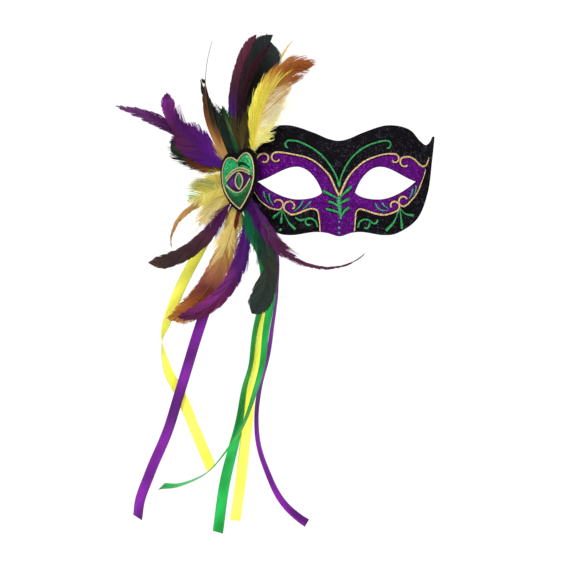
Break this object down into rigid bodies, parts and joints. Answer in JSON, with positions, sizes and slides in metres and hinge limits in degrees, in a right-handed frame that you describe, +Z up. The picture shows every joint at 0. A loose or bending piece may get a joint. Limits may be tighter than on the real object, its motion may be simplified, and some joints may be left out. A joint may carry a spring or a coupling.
{
  "type": "venetian mask",
  "caption": "Half mask for carnival with eye holes and raised scroll lines, and at its side a heart badge over a spray of feathers and hanging satin ribbon tails.",
  "frame": {"origin": "on the inner face of the shell at the bridge of the nose, where it sits on the wearer", "axes": "+X to the viewer's right, +Y into the wearer's face, +Z up as worn"},
  "size_m": [0.2979, 0.0984, 0.4628],
  "materials": {
    "black_glitter": "fine glitter",
    "violet_glitter": "fine glitter",
    "gold_glitter": "coarse glitter glue",
    "green_glitter": "coarse glitter glue",
    "felt": "matt",
    "purple_plume": "dyed feather",
    "burgundy_plume": "dyed feather",
    "ink_plume": "dyed feather",
    "olive_plume": "dyed feather",
    "yellow_plume": "dyed feather",
    "orange_plume": "dyed feather",
    "tan_plume": "dyed feather",
    "yellow_satin": "satin ribbon",
    "purple_satin": "satin ribbon",
    "green_satin": "satin ribbon"
  },
  "bodies": {
    "root": {"mask_shell": "black_glitter", "gold_brow_right": "gold_glitter", "gold_horn_right": "gold_glitter", "gold_side_right": "gold_glitter", "gold_cheek_right": "gold_glitter", "green_brow_right": "green_glitter", "green_curl_right": "green_glitter", "gold_brow_left": "gold_glitter", "gold_horn_left": "gold_glitter", "gold_side_left": "gold_glitter", "gold_cheek_left": "gold_glitter", "green_brow_left": "green_glitter", "green_curl_left": "green_glitter", "green_fern": "green_glitter", "green_rays_right": "green_glitter", "green_rays_left": "green_glitter", "feather_hub": "felt", "heart_backing": "felt", "heart_panel": "green_glitter", "heart_cord": "gold_glitter", "eye_panel": "violet_glitter", "upper_lid_cord": "gold_glitter", "lower_lid_cord": "gold_glitter", "lid_fold_cord": "gold_glitter", "pupil": "green_glitter", "pupil_cord": "gold_glitter", "feather_purple_broad": "purple_plume", "feather_purple_point": "purple_plume", "feather_brown_quill": "orange_plume", "feather_ink_up": "ink_plume", "feather_green_up": "ink_plume", "feather_burgundy_up": "burgundy_plume", "feather_burgundy_band": "burgundy_plume", "feather_black_broad": "ink_plume", "feather_yellow_up": "yellow_plume", "feather_beige_thin": "tan_plume", "feather_olive_left": "olive_plume", "feather_yellow_left": "yellow_plume", "feather_yellow_low": "yellow_plume", "feather_tan_thin": "tan_plume", "feather_burgundy_left": "burgundy_plume", "feather_yellow_down": "yellow_plume", "feather_purple_down": "purple_plume", "feather_green_down": "ink_plume", "feather_purple_sweep": "purple_plume", "feather_burgundy_small": "burgundy_plume", "ribbon_yellow_left": "yellow_satin", "ribbon_purple_left": "purple_satin", "ribbon_green_front": "green_satin", "ribbon_yellow_right": "yellow_satin", "ribbon_green_curl": "green_satin", "ribbon_purple_right": "purple_satin"}
  },
  "joints": []
}
